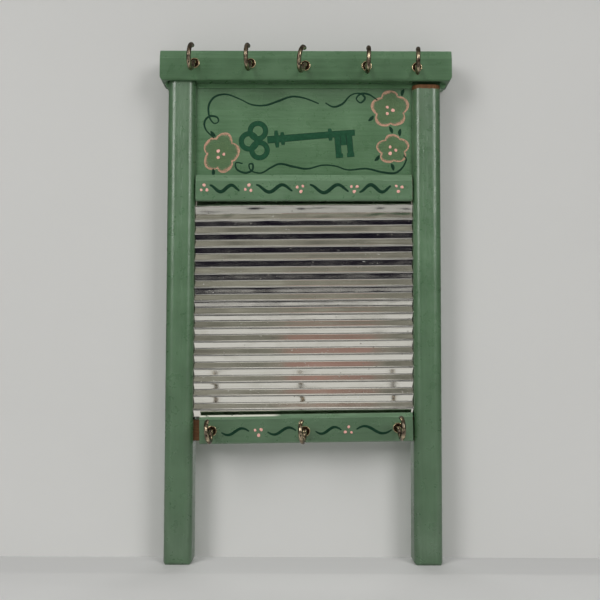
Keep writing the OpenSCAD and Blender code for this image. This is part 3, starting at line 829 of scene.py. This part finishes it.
def headboard_ornament(paints):
    """Flowers, leaves and vines around a key."""
    blossoms, dots, leaves = [], [], []
    for x, z, radius, stretch, turn, leaf_places in FLOWERS:
        blossoms.append(blossom((x, z), radius, math.radians(turn), stretch))
        dots += triplet((x - 0.5, z - 0.8), 0.0, 1.0, 2.3)
        for place in np.radians(leaf_places):
            reach = radius * 1.13
            leaves.append(leaf((x + reach * math.cos(place), z + reach * math.sin(place)), place + 0.35))
    vines = [stroke(curve(v), lambda t: 0.85 + 0.5 * math.sin(3 * math.pi * t) ** 2) for v in VINES]
    low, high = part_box("headboard")
    rise = PANEL_CENTRE - (low.z + high.z) / 2 / MM
    paint_on("flower_petals", blossoms, paints["petal"], "headboard", rise=rise)
    paint_on("flower_dots", dots, paints["pink"], "headboard", rise=rise)
    paint_on("leaves_and_vines", leaves + vines, paints["dark"], "headboard", rise=rise)
    paint_on("key_motif", key_motif(), paints["key"], "headboard", rise=rise - 1.5)


def key_motif(slant=math.radians(5), scale=0.96, right=4.2, up=1.8):
    """An old-fashioned door key: trefoil bow, collared shank and a notched bit."""
    shank = -1.0
    bow = (-33.5, shank)
    bit_end = -15.1
    parts = []
    for place in np.radians([90, 180, 270]):
        lobe = (bow[0] + 6.2 * math.cos(place), bow[1] + 6.2 * math.sin(place))
        parts.append(stroke(ring_path(lobe, 4.9, place), lambda t: 3.4, 0.12))
    shaft = [(-28 + 56 * t, shank) for t in np.linspace(0, 1, 30)]
    parts.append(stroke(shaft, lambda t: 4.9 - 0.9 * t, 0.16))
    for x, height in ((-22.0, 11.0), (-18.2, 8.2), (12.2, 7.8)):
        band = [(x, shank + height * (t - 0.5)) for t in np.linspace(0, 1, 14)]
        parts.append(stroke(band, pressed(3.1, 0.6), 0.20))
    for x, length in ((16.6, 13.5), (24.2, 13.5), (20.4, 7.5)):
        tooth = [(x, shank - length * t) for t in np.linspace(0, 1, 16)]
        parts.append(stroke(tooth, lambda t: 3.9, 0.18))
    for start in (14.6, 21.8):
        foot = [(x, bit_end) for x in np.linspace(start, start + 4.6, 8)]
        parts.append(stroke(foot, lambda t: 2.8, 0.15))
    turned = []
    for points, faces, marks in parts:
        moved = [(scale * (x * math.cos(slant) - z * math.sin(slant)) + right,
                  scale * (x * math.sin(slant) + z * math.cos(slant)) + up, h)
                 for x, z, h in points]
        turned.append((moved, faces, marks))
    return turned


def rail_ornament(paints):
    """Wavy strokes with three dots between them."""
    wavy = {"widest": 2.3, "turns": 1.38, "start": 0.25}
    mid_squiggles = [squiggle(-57, -39, 0, 2.0, -1, **wavy), squiggle(-29, -7, 0, 2.2, -1, **wavy),
                     squiggle(3.5, 27, -0.2, 2.4, -1, **wavy), squiggle(33.5, 52.5, 0, 2.2, 1, **wavy)]
    mid_dots = []
    for x, turn in ((-60.4, 90), (-33.6, 200), (-2.2, 40), (30.4, 150), (57.4, 260)):
        mid_dots += triplet((x, 0.1), math.radians(turn), 0.95, 2.0)
    paint_on("mid_rail_strokes", mid_squiggles, paints["dark"], "mid_rail", MID_TILT, -0.6)
    paint_on("mid_rail_dots", mid_dots, paints["pink"], "mid_rail", MID_TILT, -0.6)
    low_squiggles = [squiggle(-50.5, -34, 0, 1.9), squiggle(-23, -6, 0, 2.0),
                     squiggle(5.5, 21, 0, 1.9), squiggle(30, 51, 0, 2.2, -1)]
    low_dots = triplet((-28.5, 0), 0.6, 0.95, 2.1) + triplet((25.2, 0), 1.5, 0.85, 2.1)
    paint_on("bottom_rail_strokes", low_squiggles, paints["dark"], "bottom_rail", LOW_TILT, -1.3)
    paint_on("bottom_rail_dots", low_dots, paints["pink"], "bottom_rail", LOW_TILT, -1.5)


def ornament():
    paints = {
        "dark": stroke_paint("leaf_green_paint", LEAF_GREEN, (0.006, 0.030, 0.016, 1), 0.88, 11.0),
        "key": stroke_paint("key_green_paint", KEY_GREEN, (0.007, 0.034, 0.018, 1), 0.80, 12.0),
        "pink": stroke_paint("pink_dot_paint", DOT_PINK, (0.66, 0.30, 0.24, 1), 0.90, 13.0),
        "petal": petal_paint(),
    }
    headboard_ornament(paints)
    rail_ornament(paints)


# ---- Studio ----

def sheet(name, corners, material):
    """Flat stage surface from its corners, in metres."""
    mesh = bpy.data.meshes.new(name)
    mesh.from_pydata(corners, [], [tuple(range(len(corners)))])
    mesh.materials.append(material)
    surface = bpy.data.objects.new(name, mesh)
    bpy.context.scene.collection.objects.link(surface)
    return surface


def glow(name, colour, strength, dimmest=1.0):
    """Light of one colour, clouded down to its dimmest share."""
    look = Look(name)
    cloud = look.remap(look.noise((0.024, 0.020, 0.010), 5, 0.62), 0.40, 0.60, strength * dimmest, strength)
    shader = look.add("Emission", {"Color": colour, "Strength": cloud})
    look.tree.links.new(shader.outputs[0], look.output.inputs["Surface"])
    return look.material


def mirrored_card(name, corners, *light):
    """Glowing card that only reflections show."""
    card = sheet(name, corners, glow(name, *light))
    card.visible_camera = False
    card.visible_diffuse = False
    card.visible_shadow = False
    card.visible_transmission = False


def floor_and_wall():
    floor_look = plain_surface("pale_floor", (0.76, 0.76, 0.75, 1))
    sheet("floor", [(-3, -3, 0), (3, -3, 0), (3, 3, 0), (-3, 3, 0)], floor_look.material)

    # The wall stands just behind the rack. It can't be seen from behind and casts no shade on the back.
    # Painted shade: the wall is painted darker towards its top.
    wall_look = plain_surface("pale_wall", (0.745, 0.745, 0.73, 1), 0.83)
    front = wall_look.output.inputs["Surface"].links[0].from_socket
    behind = wall_look.add("NewGeometry").outputs["Backfacing"]
    clear = wall_look.add("BsdfTransparent").outputs[0]
    shown = wall_look.add("MixShader", {0: behind, 1: front, 2: clear}).outputs[0]
    wall_look.tree.links.new(shown, wall_look.output.inputs["Surface"])
    y = CAD_BOX[1].y + 0.0008
    wall = sheet("wall", [(-3, y, 0), (3, y, 0), (3, y, 3), (-3, y, 3)], wall_look.material)
    wall.visible_shadow = False
    wall.visible_diffuse = False
    wall.visible_glossy = False


def mirrored_room():
    """What the tin mirrors: a pale and a dark strip of table, an olive and a warm card overhead, and a
    pale card in front."""
    z = 0.0006
    mirrored_card("dark_strip", [(-0.3, -0.100, z), (0.3, -0.122, z), (0.3, -0.21, z), (-0.3, -0.23, z)],
                  (0.010, 0.008, 0.016, 1), 1.0)
    mirrored_card("pale_strip", [(-0.3, -0.02, z), (0.3, -0.02, z), (0.3, -0.122, z), (-0.3, -0.100, z)],
                  (1.0, 0.995, 0.97, 1), 0.78)
    z = 0.50
    mirrored_card("olive_card", [(-0.4, -0.12, z), (0.4, -0.12, z), (0.4, -0.33, z), (-0.4, -0.33, z)],
                  (0.27, 0.265, 0.225, 1), 1.50, 0.30)
    z = 0.30
    left, right = -0.018, 0.058
    mirrored_card("warm_card", [(left, -0.094, z), (right, -0.094, z), (right, -0.146, z), (left, -0.146, z)],
                  (0.52, 0.33, 0.285, 1), 0.85, 0.7)
    half = 0.112
    mirrored_card("crest_card", [(-half, -0.50, 0.39), (half, -0.50, 0.39), (half, -0.36, 0.56),
                                 (-half, -0.36, 0.56)],
                  (1.0, 0.99, 0.95, 1), 0.95)


def softbox(name, azimuth, elevation, distance, width, height, power, target):
    """Area light on a sphere about the target; azimuth 0 is straight in front, + to the right."""
    a, e = math.radians(azimuth), math.radians(elevation)
    way = Vector((math.sin(a) * math.cos(e), -math.cos(a) * math.cos(e), math.sin(e)))
    lamp = bpy.data.lights.new(name, "AREA")
    lamp.shape = "RECTANGLE"
    lamp.size, lamp.size_y = width, height
    lamp.energy = power
    lamp.color = (1.0, 0.995, 0.985)
    obj = bpy.data.objects.new(name, lamp)
    bpy.context.scene.collection.objects.link(obj)
    obj.location = target + way * distance
    obj.rotation_mode = "QUATERNION"
    obj.rotation_quaternion = way.to_track_quat("Z", "Y")
    obj.visible_camera = False
    return obj


def lights():
    middle = (CAD_BOX[0] + CAD_BOX[1]) / 2
    key = softbox("key_overhead", -8, 56, 1.15, 1.1, 0.42, 2.3, middle)
    key.visible_glossy = False
    softbox("left_window", -36, 24, 1.15, 0.40, 0.60, 4.2, middle)
    softbox("right_window", 35, 24, 1.15, 0.40, 0.60, 3.7, middle)
    back = softbox("back_fill", 180, 25, 1.3, 1.2, 0.8, 6.0, middle)
    back.visible_glossy = False


def world():
    """Dim grey room that shows as a pale backdrop to the camera."""
    room = bpy.data.worlds.new("room")
    bpy.context.scene.world = room
    room.use_nodes = True
    tree = room.node_tree
    tree.nodes.clear()
    output = tree.nodes.new("ShaderNodeOutputWorld")
    seen = tree.nodes.new("ShaderNodeLightPath")
    lit = tree.nodes.new("ShaderNodeBackground")
    lit.inputs["Color"].default_value = (0.130, 0.130, 0.127, 1)
    pale = tree.nodes.new("ShaderNodeBackground")
    pale.inputs["Color"].default_value = (0.52, 0.52, 0.51, 1)
    both = tree.nodes.new("ShaderNodeMixShader")
    tree.links.new(seen.outputs["Is Camera Ray"], both.inputs[0])
    tree.links.new(lit.outputs[0], both.inputs[1])
    tree.links.new(pale.outputs[0], both.inputs[2])
    tree.links.new(both.outputs[0], output.inputs["Surface"])


def camera():
    """Seen from straight in front, a little below the middle and looking slightly up."""
    data = bpy.data.cameras.new("camera")
    data.sensor_width = 36
    data.lens = 55.13
    data.clip_start = 0.01
    cam = bpy.data.objects.new("camera", data)
    bpy.context.scene.collection.objects.link(cam)
    place = Matrix.Translation((-0.0031, -0.5497, 0.1258))
    pitch = Matrix.Rotation(math.radians(90 + 3.24), 4, "X")
    roll = Matrix.Rotation(math.radians(0.17), 4, "Z")
    cam.matrix_world = place @ pitch @ roll
    bpy.context.scene.camera = cam


def studio():
    bpy.context.scene.view_settings.view_transform = "Standard"
    bpy.context.scene.view_settings.look = "None"
    floor_and_wall()
    mirrored_room()
    lights()
    world()
    camera()


dress_wood()
dress_steel()
rub_plate(tinplate())
hooks()
ornament()
studio()
